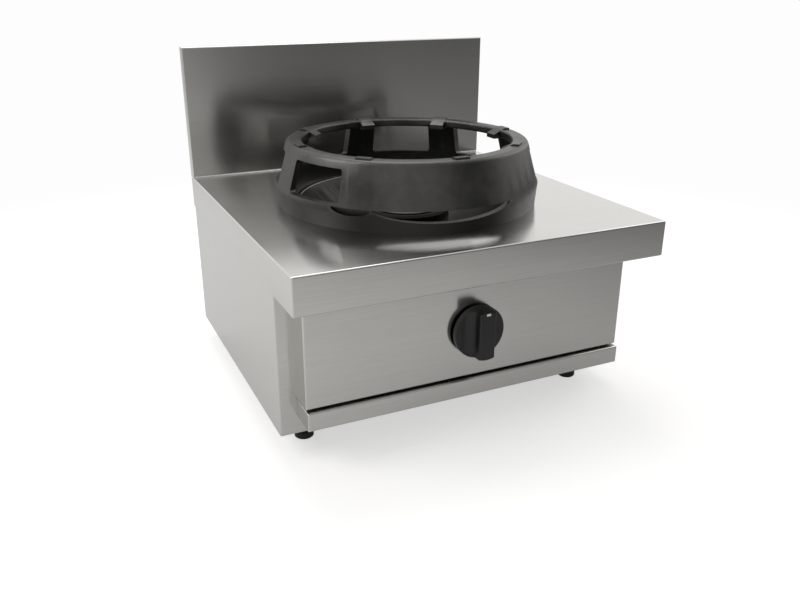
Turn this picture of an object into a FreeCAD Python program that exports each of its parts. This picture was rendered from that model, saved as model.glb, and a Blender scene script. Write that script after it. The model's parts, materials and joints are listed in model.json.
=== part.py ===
import FreeCAD, Part
import math
import operator
import os
from types import SimpleNamespace

import Sketcher
from FreeCAD import Placement, Rotation, Vector

# A countertop gas wok range with one burner. It is a folded stainless casing on four
# levelling feet, with a splashback, a cast ring that carries the wok, a spun bowl and a
# burner below it, a safety gas tap with a knob, and a pull-out drip tray.
# Lengths are millimetres. The origin is on the table under the middle of the worktop,
# +X is to the user's right, +Y to the back and +Z up.

SIZES = [
    # Casing, folded from sheet
    ("sheet", 1.5),
    ("edge_radius", 2.5),
    ("worktop_width", 600),
    ("worktop_depth", 592),
    ("casing_height", 280),
    ("apron_height", 56),
    ("apron_hem", 14),
    ("splash_height", 230),
    ("splash_depth", 14),
    ("splash_cove", 3.5),
    ("rail_bowl_gap", 2.6),
    ("leg_width", 48),
    ("flange_width", 20),
    ("back_recess", 33),
    ("vent_length", 60),
    ("vent_height", 5),
    ("vent_pitch_x", 90),
    ("vent_pitch_z", 22),
    ("vent_top_drop", 60),
    ("rail_width", 34),
    ("rail_height", 25),
    ("rail_rise", 2),
    ("stiffener_gap", 35),
    ("stiffener_width", 30),
    ("stiffener_height", 18),
    ("stiffener_setback", 40),
    # Control panel
    ("panel_lap", 20.5),
    ("panel_stand_off", 41.4),
    ("panel_rise", 57.5),
    ("panel_drop", 18),
    ("panel_hole_radius", 9),
    ("panel_screw_inset", 22.5),
    # Fasteners
    ("screw_radius", 2.5),
    ("screw_head_radius", 4.5),
    ("screw_head_height", 2.6),
    ("screw_length", 12),
    ("screw_slack", 0.1),
    ("socket_radius", 1.5),
    ("socket_depth", 1.4),
    # Drip tray and its runners
    ("tray_front_rise", 26),
    ("tray_front_height", 29),
    ("tray_stand_off", 48.4),
    ("tray_lip", 21),
    ("tray_front_gap", 0.5),
    ("tray_sheet", 1.2),
    ("tray_side_gap", 3.5),
    ("tray_rise", 4),
    ("tray_depth", 440),
    ("tray_height", 22),
    ("runner_gap", 0.3),
    ("runner_reach", 10),
    ("runner_guide_gap", 1),
    ("runner_guide_height", 17),
    ("runner_length", 420),
    # Feet
    ("foot_height", 38),
    ("side_foot_inset", 53),
    ("front_foot_inset", 50.6),
    ("rear_foot_inset", 56),
    ("pad_radius", 15),
    ("pad_height", 12),
    ("pad_chamfer", 1.5),
    ("stem_radius", 10),
    ("stem_gap", 0.3),
    ("stud_radius", 5),
    ("stud_above_base", 23),
    ("stud_in_pad", 8),
    ("thread_slack", 0.05),
    ("stud_hole_slack", 0.5),
    ("foot_nut_width", 17),
    ("foot_nut_height", 8),
    # Bowl under the ring
    ("well_radius", 180),
    ("bowl_sheet", 1.2),
    ("bowl_rim_width", 8),
    ("bowl_rim_height", 2.4),
    ("bowl_neck_gap", 1.5),
    ("bowl_depth", 64),
    ("bowl_floor_radius", 98),
    ("bowl_mouth_radius", 85),
    ("bowl_collar_height", 10),
    # Cast ring that carries the wok
    ("ring_height", 101),
    ("ring_top_radius", 197),
    ("ring_skirt_radius", 217),
    ("ring_base_radius", 214),
    ("ring_skirt_height", 34),
    ("ring_wall", 11),
    ("ring_rim_width", 25),
    ("ring_rim_height", 13),
    ("ring_round", 3),
    ("rim_round", 8),
    ("window_sill", 36),
    ("window_height", 51),
    ("window_sill_half_width", 54),
    ("window_head_half_width", 50),
    ("window_corner", 5),
    ("window_count", 6),
    ("window_step", 45),
    ("first_window", 112.5),
    ("gap_half_width", 107),
    ("gap_sag", 19),
    ("gap_turn", 9.2),
    ("side_gap_half_width", 32),
    ("side_gap_sag", 11),
    ("side_gap_depth", 8),
    ("side_gap_turn", 48),
    ("lug_count", 8),
    ("lug_width", 24),
    ("lug_reach", 12),
    ("lug_height", 2.5),
    ("lug_seat", 18),
    ("lug_step", 8),
    ("lug_depth", 14),
    # Burner
    ("burner_radius", 72),
    ("cup_drop", 60),
    ("cup_height", 32),
    ("cup_wall", 5),
    ("mixing_drop", 94),
    ("mixing_radius", 24),
    ("mixing_bore", 18),
    ("mixing_length", 125),
    ("mixing_end", 26),
    ("mixing_face", 3),
    ("jet_hole_radius", 6.5),
    ("air_window_width", 14),
    ("air_window_length", 12),
    ("air_window_setback", 7),
    ("burner_leg_width", 36),
    ("burner_leg_thick", 14),
    ("burner_leg_drop", 4),
    ("neck_radius", 21),
    ("throat_radius", 15),
    ("crown_height", 14),
    ("crown_inner_radius", 50),
    ("crown_bevel", 3.5),
    ("port_radius", 1.75),
    ("port_height", 8),
    ("port_count", 24),
    ("cap_height", 8),
    ("cap_radius", 62),
    ("cap_edge", 2),
    ("cap_spigot_height", 4),
    ("cap_spigot_slack", 1),
    ("shutter_wall", 2.5),
    ("shutter_margin", 5),
    ("shutter_tab", 10),
    ("running_slack", 0.05),
    ("burner_rail_spread", 60),
    ("burner_rail_width", 30),
    ("burner_rail_height", 14),
    ("burner_rail_tab", 14),
    # Injector and its holder
    ("injector_radius", 4.9),
    ("injector_length", 20),
    ("injector_bore", 1.2),
    ("holder_width", 18),
    ("holder_length", 24),
    ("injector_gap", 15),
    ("bracket_half_width", 32.5),
    ("bracket_height", 28),
    ("bracket_reach", 40),
    ("lug_block", 10),
    # Pilot flame and thermocouple
    ("pilot_ring_radius", 78),
    ("pilot_spread", 8.5),
    ("pilot_radius", 4.5),
    ("pilot_nut_width", 10.5),
    ("pilot_nut_height", 12),
    ("pilot_top_drop", 20),
    ("probe_radius", 2.5),
    ("pilot_plate_width", 34),
    ("pilot_plate_reach", 34),
    ("small_tube_radius", 2),
    ("small_tube_bore", 1.1),
    ("lead_radius", 1.25),
    ("small_bend", 14),
    # Gas tap
    ("knob_drop", 146),
    ("tap_radius", 16),
    ("tap_front_gap", 10),
    ("tap_length", 48),
    ("plug_front_radius", 11),
    ("plug_back_radius", 9),
    ("plug_length", 37),
    ("plug_setback", 7),
    ("valve_radius", 12),
    ("valve_length", 24),
    ("valve_bore", 8),
    ("port_bore", 5),
    ("plug_way_radius", 4),
    ("inlet_boss_radius", 10),
    ("inlet_boss_reach", 30),
    ("inlet_boss_setback", 33),
    ("outlet_boss_radius", 8.5),
    ("outlet_boss_reach", 26),
    ("pilot_boss_radius", 5),
    ("pilot_boss_reach", 22),
    ("cover_thick", 4),
    ("cover_half_width", 22),
    ("cover_half_height", 13),
    ("cover_screw_spread", 19),
    ("tap_flange", 6),
    ("tap_nut_width", 31),
    ("tap_nut_height", 6),
    ("tap_plate_half_width", 34),
    ("tap_plate_rise", 30),
    ("spindle_radius", 4),
    ("spindle_flat", 2.5),
    ("spindle_in_plug", 16),
    ("spindle_in_knob", 20),
    ("collar_radius", 6.2),
    ("collar_thick", 1.5),
    ("collar_gap", 0.5),
    ("spring_radius", 5.4),
    ("spring_wire", 0.45),
    ("spring_length", 10.5),
    ("spring_turns", 5),
    ("spring_pocket_radius", 6.6),
    ("spring_spare", 4.8),
    # Knob
    ("knob_radius", 41),
    ("knob_gap", 4.6),
    ("knob_skirt", 9),
    ("knob_depth", 32),
    ("knob_shell", 2.5),
    ("grip_width", 26.5),
    ("grip_reach", 37),
    ("grip_sweep", 15),
    ("knob_round", 2.5),
    ("bush_radius", 7),
    ("bush_boss", 3),
    ("pointer_width", 7),
    ("pointer_length", 3.5),
    ("pointer_depth", 0.8),
    ("pointer_rise", 34.8),
    # Gas supply
    ("pipe_radius", 8),
    ("pipe_bore", 6.5),
    ("pipe_bend", 30),
    ("pipe_inset", 87),
    ("pipe_nut_width", 24),
    ("pipe_nut_length", 14),
    ("burner_pipe_radius", 5),
    ("burner_pipe_bore", 4),
    ("burner_pipe_bend", 14),
    ("inlet_radius", 10.48),
    ("inlet_shank_radius", 12),
    ("inlet_tail", 27),
    ("inlet_inside", 24),
    ("inlet_socket", 10),
    ("inlet_hex", 27),
    ("inlet_hex_height", 10),
    ("locknut_hex", 30),
    ("locknut_height", 7),
]

doc = FreeCAD.newDocument("wok_range")
dims = doc.addObject("Spreadsheet::Sheet", "dims")
for row, (alias, number) in enumerate(SIZES, start=1):
    dims.set(f"A{row}", alias)
    dims.set(f"B{row}", str(number))
    dims.setAlias(f"B{row}", alias)
doc.recompute()

SIGNS = {"+": operator.add, "-": operator.sub, "*": operator.mul, "/": operator.truediv}


class Size:
    """A length that carries its value and the formula that ties it to the sheet."""

    def __init__(self, formula, value):
        self.formula = formula
        self.value = value

    def __add__(self, other):
        return joined(self, "+", other)

    def __radd__(self, other):
        return joined(other, "+", self)

    def __sub__(self, other):
        return joined(self, "-", other)

    def __rsub__(self, other):
        return joined(other, "-", self)

    def __mul__(self, other):
        return joined(self, "*", other)

    def __rmul__(self, other):
        return joined(other, "*", self)

    def __truediv__(self, other):
        return joined(self, "/", other)

    def __neg__(self):
        return joined(0, "-", self)


def sized(thing):
    """Turn a plain number into a Size, and leave a Size as it is."""
    if isinstance(thing, Size):
        return thing
    return Size(repr(float(thing)), float(thing))


def joined(left, sign, right):
    """Join two sizes with one sign, in the formula and in the value."""
    left = sized(left)
    right = sized(right)
    formula = f"({left.formula} {sign} {right.formula})"
    return Size(formula, SIGNS[sign](left.value, right.value))


d = SimpleNamespace(**{name: Size(f"dims.{name}", float(getattr(dims, name))) for name, _ in SIZES})
sheet = d.sheet

# Planes and places that many pieces share
base = d.foot_height
top = d.foot_height + d.casing_height
half = d.worktop_width / 2
front = -d.worktop_depth / 2
back = d.worktop_depth / 2
under = top - sheet
bowl_neck = d.well_radius - d.bowl_neck_gap
leg_face = -(bowl_neck + d.rail_bowl_gap + d.flange_width + sheet)
leg_edge = half - sheet - d.leg_width
web_inside = half - 2 * sheet
rail_front = leg_face + sheet
back_face = back - d.back_recess
panel_half = leg_edge + d.panel_lap
panel_front = leg_face - d.panel_stand_off
panel_bottom = base + d.panel_rise
panel_top = top - d.panel_drop
knob_z = top - d.knob_drop
pipe_x = web_inside - d.pipe_inset

parts = {}


def keep(name, thing):
    """Name a finished piece; its label is the name of its file."""
    thing.Label = name
    parts[name] = thing
    return thing


def bind(thing, path, value):
    """Tie one property of a document object to a formula."""
    thing.setExpression(path, sized(value).formula)


def sides(side, inner, outer):
    """Span from inner to outer on the right (+1) or, mirrored, on the left (-1)."""
    if side > 0:
        return (inner, outer)
    return (-outer, -inner)


def block(x, y, z):
    """Block whose x, y and z are each a (low, high) pair."""
    solid = doc.addObject("Part::Box", "block")
    for length, letter, (low, high) in (("Length", "x", x), ("Width", "y", y), ("Height", "z", z)):
        bind(solid, length, high - low)
        bind(solid, f"Placement.Base.{letter}", low)
    return solid


TURNS = {"x": Rotation(Vector(0, 1, 0), 90), "y": Rotation(Vector(1, 0, 0), -90), "z": Rotation()}


def stand(solid, axis, start, at):
    """Set a solid made along Z on an axis; at holds its other two places in x, y, z order."""
    solid.Placement = Placement(Vector(), TURNS[axis])
    rest = list(at)
    for letter in "xyz":
        bind(solid, f"Placement.Base.{letter}", start if letter == axis else rest.pop(0))
    return solid


def rod(axis, radius, span, at):
    """Round bar along an axis, over a (low, high) span."""
    solid = doc.addObject("Part::Cylinder", "rod")
    bind(solid, "Radius", radius)
    bind(solid, "Height", span[1] - span[0])
    return stand(solid, axis, span[0], at)


def taper(axis, radii, span, at):
    """Round bar along an axis that changes from one radius to another."""
    solid = doc.addObject("Part::Cone", "taper")
    bind(solid, "Radius1", radii[0])
    bind(solid, "Radius2", radii[1])
    bind(solid, "Height", span[1] - span[0])
    return stand(solid, axis, span[0], at)


def hexagon(axis, width, span, at):
    """Hexagonal bar, width across its flats."""
    solid = doc.addObject("Part::Prism", "hexagon")
    solid.Polygon = 6
    bind(solid, "Circumradius", width / math.sqrt(3))
    bind(solid, "Height", span[1] - span[0])
    return stand(solid, axis, span[0], at)


def fuse(*solids):
    """Join solids that overlap or touch into one."""
    result = doc.addObject("Part::MultiFuse", "fuse")
    result.Shapes = list(solids)
    return result


def cut(blank, *tools):
    """Take the tools away from a blank."""
    result = doc.addObject("Part::Cut", "cut")
    result.Base = blank
    result.Tool = tools[0] if len(tools) == 1 else fuse(*tools)
    return result


def common(first, second):
    """Keep what two solids share."""
    result = doc.addObject("Part::Common", "common")
    result.Base = first
    result.Tool = second
    return result


def group(*solids):
    """Separate like solids that share one node."""
    result = doc.addObject("Part::Compound", "group")
    result.Links = list(solids)
    return result


def rounded(blank, radius, chosen):
    """Round the edges of a blank that chosen picks."""
    doc.recompute()
    result = doc.addObject("Part::Fillet", "rounded")
    result.Base = blank
    numbered = enumerate(blank.Shape.Edges, start=1)
    result.Edges = [(number, radius.value, radius.value) for number, edge in numbered if chosen(edge)]
    return result


def near(value, size):
    """Whether a measured coordinate lies on a size."""
    return abs(value - size.value) < 0.01


def runs(edge, letter):
    """Whether a straight edge runs along an axis."""
    if not isinstance(edge.Curve, Part.Line):
        return False
    return abs(getattr(edge.Curve.Direction, letter)) > 0.999


def body(name):
    """Empty body for a piece that is made feature by feature."""
    return doc.addObject("PartDesign::Body", name)


def sketch_on(owner, role):
    """Sketch on one of the body's own origin planes."""
    plane = next(item for item in owner.Origin.OriginFeatures if item.Role == role)
    drawn = owner.newObject("Sketcher::SketchObject", "sketch")
    drawn.AttachmentSupport = [(plane, "")]
    drawn.MapMode = "FlatFace"
    return drawn


def pin_point(drawn, line, point):
    """Hold the start of a line at a point; each coordinate keeps its formula."""
    for kind, axis, place in (("DistanceX", -2, point[0]), ("DistanceY", -1, point[1])):
        place = sized(place)
        if place.value == 0:
            drawn.addConstraint(Sketcher.Constraint("PointOnObject", line, 1, axis))
        else:
            number = drawn.addConstraint(Sketcher.Constraint(kind, -1, 1, line, 1, place.value))
            bind(drawn, f"Constraints[{number}]", place)


def outline(drawn, points):
    """Closed outline of straight lines through the points."""
    flat = [Vector(sized(x).value, sized(y).value, 0) for x, y in points]
    for number, start in enumerate(flat):
        drawn.addGeometry(Part.LineSegment(start, flat[(number + 1) % len(flat)]), False)
    for number in range(len(flat)):
        following = (number + 1) % len(flat)
        drawn.addConstraint(Sketcher.Constraint("Coincident", number, 2, following, 1))
    for number, point in enumerate(points):
        pin_point(drawn, number, point)


def circle(drawn, radius, centre=(0, 0)):
    """Circle with its radius and centre tied to their formulas."""
    middle = Vector(sized(centre[0]).value, sized(centre[1]).value, 0)
    number = drawn.addGeometry(Part.Circle(middle, Vector(0, 0, 1), sized(radius).value), False)
    held = drawn.addConstraint(Sketcher.Constraint("Radius", number, sized(radius).value))
    bind(drawn, f"Constraints[{held}]", radius)
    for kind, axis, place in (("DistanceX", -2, centre[0]), ("DistanceY", -1, centre[1])):
        place = sized(place)
        if place.value == 0:
            drawn.addConstraint(Sketcher.Constraint("PointOnObject", number, 3, axis))
        else:
            tied = drawn.addConstraint(Sketcher.Constraint(kind, -1, 1, number, 3, place.value))
            bind(drawn, f"Constraints[{tied}]", place)


def origin_axis(owner, role):
    """Reference to one axis of the body's own origin."""
    return (next(item for item in owner.Origin.OriginFeatures if item.Role == role), [""])


def revolve(owner, points):
    """Turn an outline of (radius, height) points once around Z."""
    drawn = sketch_on(owner, "XZ_Plane")
    outline(drawn, points)
    turned = owner.newObject("PartDesign::Revolution", "turned")
    turned.Profile = drawn
    turned.ReferenceAxis = origin_axis(owner, "Z_Axis")
    turned.Angle = 360
    doc.recompute()
    return turned


def pad(owner, drawn, length):
    """Raise a sketch into a solid, half to each side of its plane."""
    raised = owner.newObject("PartDesign::Pad", "pad")
    raised.Profile = drawn
    bind(raised, "Length", length)
    raised.Midplane = True
    doc.recompute()
    return raised


def pocket(owner, drawn, length):
    """Cut a sketch into the body, and stop if nothing was cut."""
    doc.recompute()
    before = owner.Shape.Volume
    sunk = owner.newObject("PartDesign::Pocket", "pocket")
    sunk.Profile = drawn
    bind(sunk, "Length", length)
    doc.recompute()
    if not sunk.Shape.Volume < before:
        raise RuntimeError(f"{owner.Name}: a pocket cut nothing")
    return sunk


def around(owner, feature, count, sweep):
    """Repeat a feature around Z; the sweep runs from the first copy to the last."""
    pattern = owner.newObject("PartDesign::PolarPattern", "pattern")
    pattern.Originals = [feature]
    pattern.Axis = origin_axis(owner, "Z_Axis")
    pattern.Occurrences = int(count.value)
    pattern.Angle = sized(sweep).value
    owner.Tip = pattern
    doc.recompute()
    return pattern


def soften(owner, radius, chosen):
    """Round the edges of the body's last feature that chosen picks."""
    last = owner.Tip
    numbered = enumerate(last.Shape.Edges, start=1)
    names = [f"Edge{number}" for number, edge in numbered if chosen(edge)]
    made = owner.newObject("PartDesign::Fillet", "soft")
    made.Base = (last, names)
    bind(made, "Radius", radius)
    doc.recompute()
    return made


def turned_sketch(owner, angle):
    """Upright sketch that faces the front, turned clockwise as seen from above."""
    drawn = sketch_on(owner, "XZ_Plane")
    drawn.AttachmentOffset = Placement(Vector(), Rotation(Vector(0, 1, 0), -angle))
    return drawn


def half_oval(half_width, sag, span, level):
    """Bar along Y whose section is the lower half of an oval that hangs from a level."""
    oval = doc.addObject("Part::Ellipse", "oval")
    bind(oval, "MajorRadius", half_width)
    bind(oval, "MinorRadius", sag)
    bar = doc.addObject("Part::Extrusion", "bar")
    bar.Base = oval
    bar.DirMode = "Custom"
    bar.Dir = Vector(0, 0, 1)
    bind(bar, "LengthFwd", span[1] - span[0])
    bar.Solid = True
    stand(bar, "y", span[0], (0, level))
    return common(bar, block((-half_width, half_width), span, (level - sag, level)))


def route(points, bend):
    """Path of straight runs through the points, with each corner an arc of radius bend."""
    places = [Vector(*(sized(part).value for part in point)) for point in points]
    edges = []
    start = places[0]
    for before, corner, after in zip(places, places[1:], places[2:]):
        arriving = (corner - before).normalize()
        leaving = (after - corner).normalize()
        turn = arriving.getAngle(leaving)
        setback = bend.value * math.tan(turn / 2)
        first = corner - arriving * setback
        last = corner + leaving * setback
        inward = (leaving - arriving).normalize()
        centre = corner + inward * (bend.value / math.cos(turn / 2))
        edges.append(Part.LineSegment(start, first).toShape())
        edges.append(Part.Arc(first, centre - inward * bend.value, last).toShape())
        start = last
    edges.append(Part.LineSegment(start, places[-1]).toShape())
    return Part.Wire(edges)


def swept(points, radius, bend):
    """Round bar that follows a route."""
    path = route(points, bend)
    heading = path.Edges[0].tangentAt(path.Edges[0].FirstParameter)
    section = Part.Wire(Part.makeCircle(radius.value, path.Edges[0].Vertexes[0].Point, heading))
    solid = path.makePipeShell([section], True, False)
    length = path.Length
    expected = math.pi * radius.value ** 2 * length
    if abs(solid.Volume / expected - 1) > 0.01:
        raise RuntimeError("a bent tube has the wrong volume")
    return solid


def tube(points, radius, bore, bend):
    """Bent tube, hollow when it has a bore."""
    shape = swept(points, radius, bend)
    if bore is not None:
        shape = shape.cut(swept(points, bore, bend))
    made = doc.addObject("Part::Feature", "tube")
    made.Shape = shape
    made.Placement = Placement()
    return made


def ordered(first, second):
    """Span between two places, the lower one first."""
    if first.value < second.value:
        return (first, second)
    return (second, first)


def screw(axis, head_face, direction, at):
    """Socket screw along an axis: head_face is where its head sits, direction where it points."""
    tip = head_face + direction * d.screw_length
    crest = head_face - direction * d.screw_head_height
    floor = crest + direction * d.socket_depth
    shank = rod(axis, d.screw_radius, ordered(head_face, tip), at)
    head = rod(axis, d.screw_head_radius, ordered(crest, head_face), at)
    socket = hexagon(axis, 2 * d.socket_radius, ordered(crest, floor), at)
    return cut(fuse(head, shank), socket)


def screw_hole(axis, span, at):
    """Tool for the hole that a screw passes through."""
    return rod(axis, d.screw_radius + d.screw_slack, span, at)


# Worktop: a pressed sheet with an apron on all four sides, hemmed at the front
blank = block((-half, half), (front, back), (top - d.apron_height, top))
blank = rounded(blank, d.edge_radius, lambda edge: True)
cavity = block(
    (-half + sheet, half - sheet),
    (front + sheet, back - sheet),
    (top - d.apron_height + sheet, under),
)
mouth = block(
    (-half + sheet, half - sheet),
    (front + d.apron_hem, back - sheet),
    (top - d.apron_height - sheet, top - d.apron_height + 2 * sheet),
)
well = rod("z", d.well_radius, (under - sheet, top + sheet), (0, 0))
keep("worktop", cut(blank, cavity, mouth, well))

# Splashback: a shallow tray of sheet, open at the back, welded on with a polished cove
splash_front = back - d.splash_depth
splash_top = top + d.splash_height
blank = block((-half, half), (splash_front, back), (top, splash_top))


def splash_edge(edge):
    """The folded edges: those round the front face but for its foot, and the two long top ones."""
    on_front = near(edge.CenterOfMass.y, splash_front) and not near(edge.CenterOfMass.z, top)
    on_top = near(edge.CenterOfMass.z, splash_top) and runs(edge, "x")
    return on_front or on_top


blank = rounded(blank, d.edge_radius, splash_edge)
hollow = block((-half + sheet, half - sheet), (splash_front + sheet, back + sheet),
               (top + sheet, splash_top - sheet))
cove_front = splash_front - d.splash_cove
cove_blank = block((-half + d.edge_radius, half - d.edge_radius), (cove_front, splash_front),
                   (top, top + d.splash_cove))
cove_tool = rod("x", d.splash_cove, (-half, half), (cove_front, top + d.splash_cove))
keep("splashback", fuse(cut(blank, hollow), cut(cove_blank, cove_tool)))


# Side panels: a web with a front return that reads as the leg, and two inner returns
def side_panel(side):
    web = block(sides(side, web_inside, half - sheet), (leg_face, back - sheet), (base, under))
    leg = block(sides(side, leg_edge, half - sheet), (leg_face, rail_front), (base, under))
    foot_return = block(sides(side, half - sheet - d.flange_width, half - sheet),
                        (leg_face, back - sheet), (base, base + sheet))
    rear_return = block(sides(side, half - sheet - d.flange_width, half - sheet),
                        (back - 2 * sheet, back - sheet), (base, under))
    folded = fuse(web, leg, foot_return, rear_return)
    corner = (half - sheet) * side
    folded = rounded(folded, d.edge_radius, lambda edge: runs(edge, "z")
                     and near(edge.CenterOfMass.x, corner))
    holes = [screw_hole("y", (leg_face - sheet, rail_front + sheet), (panel_screw_x * side, z))
             for z in panel_screw_zs]
    return cut(folded, *holes)


panel_screw_x = panel_half - d.panel_lap / 2
panel_screw_zs = (panel_bottom + d.panel_screw_inset, panel_top - d.panel_screw_inset)
keep("left_side_panel", side_panel(-1))
keep("right_side_panel", side_panel(1))

# Base panel: lies on the side returns, with a hole over each foot
foot_x = half - d.side_foot_inset
front_foot_y = leg_face + d.front_foot_inset
rear_foot_y = back - d.rear_foot_inset
foot_places = {
    "front_left": (-foot_x, front_foot_y),
    "front_right": (foot_x, front_foot_y),
    "rear_left": (-foot_x, rear_foot_y),
    "rear_right": (foot_x, rear_foot_y),
}
floor_low = base + sheet
floor_high = base + 2 * sheet
plate = block((-web_inside, web_inside), (rail_front, back - 2 * sheet), (floor_low, floor_high))
holes = [rod("z", d.stud_radius + d.stud_hole_slack, (base, floor_high + sheet), place)
         for place in foot_places.values()]
slots = [block((d.vent_pitch_x * column - d.vent_length / 2, d.vent_pitch_x * column + d.vent_length / 2),
               (d.vent_pitch_z * line, d.vent_pitch_z * line + d.vent_height),
               (base, floor_high + sheet))
         for column in (-1, 0, 1) for line in (-2, -1, 0, 1, 2)]
keep("base_panel", cut(plate, *holes, *slots))

# Back panel: set in from the rear edge, so that the gas connection has room
plate = block((-web_inside, web_inside), (back_face, back_face + sheet), (floor_high, under))
fold = block((-web_inside, web_inside), (back_face - d.flange_width, back_face), (under - sheet, under))
inlet_hole = rod("y", d.inlet_shank_radius + d.screw_slack, (back_face - sheet, back_face + 2 * sheet),
                 (pipe_x, knob_z))
slots = [block((d.vent_pitch_x * column - d.vent_length / 2, d.vent_pitch_x * column + d.vent_length / 2),
               (back_face - sheet, back_face + 2 * sheet),
               (under - d.vent_top_drop - d.vent_pitch_z * line,
                under - d.vent_top_drop - d.vent_pitch_z * line + d.vent_height))
         for column in (-2, -1, 0, 1, 2) for line in (0, 1, 2)]
keep("back_panel", cut(fuse(plate, fold), inlet_hole, *slots))

# Front rails: two angles behind the legs, above the tray and under the worktop
lower_rail_low = panel_bottom + d.rail_rise
lower_rail_high = lower_rail_low + d.rail_height
upright = block((-web_inside, web_inside), (rail_front, rail_front + sheet),
                (lower_rail_low, lower_rail_high))
shelf = block((-web_inside, web_inside), (rail_front, rail_front + d.rail_width),
              (lower_rail_high - sheet, lower_rail_high))
holes = [screw_hole("y", (rail_front - sheet, rail_front + 2 * sheet),
                    (panel_screw_x * side, panel_screw_zs[0]))
         for side in (-1, 1)]
keep("lower_front_rail", cut(fuse(upright, shelf), *holes))
upright = block((-web_inside, web_inside), (rail_front, rail_front + sheet), (under - d.rail_height, under))
shelf = block((-web_inside, web_inside), (rail_front, rail_front + d.flange_width), (under - sheet, under))
keep("upper_front_rail", fuse(upright, shelf))


# Worktop stiffeners: channels welded under the worktop beside the well
def stiffener(side):
    inner = d.well_radius + d.stiffener_gap
    outer = inner + d.stiffener_width
    length = (leg_face + d.stiffener_setback, back_face - d.stiffener_setback)
    channel = block(sides(side, inner, outer), length, (under - d.stiffener_height, under))
    groove = block(sides(side, inner + sheet, outer - sheet), (length[0] - sheet, length[1] + sheet),
                   (under - d.stiffener_height + sheet, under + sheet))
    return cut(channel, groove)


keep("worktop_stiffener_left", stiffener(-1))
keep("worktop_stiffener_right", stiffener(1))

# Control panel: a box of sheet that stands out from the legs, open at the back
blank = block((-panel_half, panel_half), (panel_front, leg_face), (panel_bottom, panel_top))
blank = rounded(blank, d.edge_radius, lambda edge: near(edge.CenterOfMass.y, panel_front))
cavity = block((-panel_half + sheet, panel_half - sheet), (panel_front + sheet, leg_face - sheet),
               (panel_bottom + sheet, panel_top - sheet))
mouth = block((-leg_edge, leg_edge), (leg_face - 2 * sheet, leg_face + sheet),
              (panel_bottom + sheet, panel_top - sheet))
spindle_hole = rod("y", d.panel_hole_radius, (panel_front - sheet, panel_front + 2 * sheet), (0, knob_z))
holes = [screw_hole("y", (leg_face - 2 * sheet, leg_face + sheet), (panel_screw_x * side, z))
         for side in (-1, 1) for z in panel_screw_zs]
keep("control_panel", cut(blank, cavity, mouth, spindle_hole, *holes))

# Panel screws: they pass through the panel's rear flanges into the legs
keep("panel_screws", group(*[screw("y", leg_face - sheet, 1, (panel_screw_x * side, z))
                             for side in (-1, 1) for z in panel_screw_zs]))

# Drip tray: a pan on two runners, with a folded front that stands before the legs
tray_half = leg_edge - d.tray_side_gap
tray_front = leg_face - d.tray_stand_off
front_low = base + d.tray_front_rise
front_high = front_low + d.tray_front_height
pan_front = tray_front + sheet
pan_low = front_low + d.tray_rise
pan_high = pan_low + d.tray_height
pan = block((-tray_half, tray_half), (pan_front, pan_front + d.tray_depth), (pan_low, pan_high))
inside = block((-tray_half + d.tray_sheet, tray_half - d.tray_sheet),
               (pan_front + d.tray_sheet, pan_front + d.tray_depth - d.tray_sheet),
               (pan_low + d.tray_sheet, pan_high + d.tray_sheet))
keep("drip_tray", cut(pan, inside))
front_back = leg_face - d.tray_front_gap
blank = block((-panel_half, panel_half), (tray_front, front_back), (front_low, front_high))
blank = rounded(blank, d.edge_radius, lambda edge: near(edge.CenterOfMass.y, tray_front))
cavity = block((-panel_half + sheet, panel_half - sheet), (tray_front + sheet, front_back + sheet),
               (front_low + sheet, front_high - sheet))
behind_lips = block((-panel_half + sheet, panel_half - sheet),
                    (tray_front + d.tray_lip, front_back + sheet),
                    (front_low - sheet, front_high + sheet))
keep("drip_tray_front", cut(blank, cavity, behind_lips))


# Tray runners: a shelf with a guide wall, fixed to the side panel's web
def runner(side):
    shelf_high = pan_low - d.runner_gap
    shelf_low = shelf_high - sheet
    inner = tray_half - d.runner_reach
    guide = tray_half + d.runner_guide_gap
    length = (rail_front + sheet, rail_front + sheet + d.runner_length)
    ledge = block(sides(side, inner, web_inside), length, (shelf_low, shelf_high))
    height = (shelf_high, shelf_high + d.runner_guide_height)
    wall = block(sides(side, guide, guide + sheet), length, height)
    fixing = block(sides(side, web_inside - sheet, web_inside), length, height)
    return fuse(ledge, wall, fixing)


keep("tray_runner_left", runner(-1))
keep("tray_runner_right", runner(1))

# Feet: a soft pad under a stem whose thread runs in a nut on the base panel
stem_top = floor_low - d.stem_gap
for place_name, (x, y) in foot_places.items():
    owner = body(f"pad_{place_name}")
    revolve(owner, [
        (0, 0),
        (d.pad_radius - d.pad_chamfer, 0),
        (d.pad_radius, d.pad_chamfer),
        (d.pad_radius, d.pad_height - d.pad_chamfer),
        (d.pad_radius - d.pad_chamfer, d.pad_height),
        (d.stud_radius, d.pad_height),
        (d.stud_radius, d.pad_height - d.stud_in_pad),
        (0, d.pad_height - d.stud_in_pad),
    ])
    bind(owner, "Placement.Base.x", x)
    bind(owner, "Placement.Base.y", y)
    keep(f"foot_pad_{place_name}", owner)
    stem = rod("z", d.stem_radius, (d.pad_height, stem_top), (x, y))
    stud = rod("z", d.stud_radius, (d.pad_height - d.stud_in_pad, floor_high + d.stud_above_base), (x, y))
    keep(f"foot_stud_{place_name}", fuse(stem, stud))
nut_high = floor_high + d.foot_nut_height
foot_nuts = [cut(hexagon("z", d.foot_nut_width, (floor_high, nut_high), place),
                 rod("z", d.stud_radius + d.thread_slack, (floor_low, nut_high + sheet), place))
             for place in foot_places.values()]
keep("foot_nuts", group(*foot_nuts))

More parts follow.
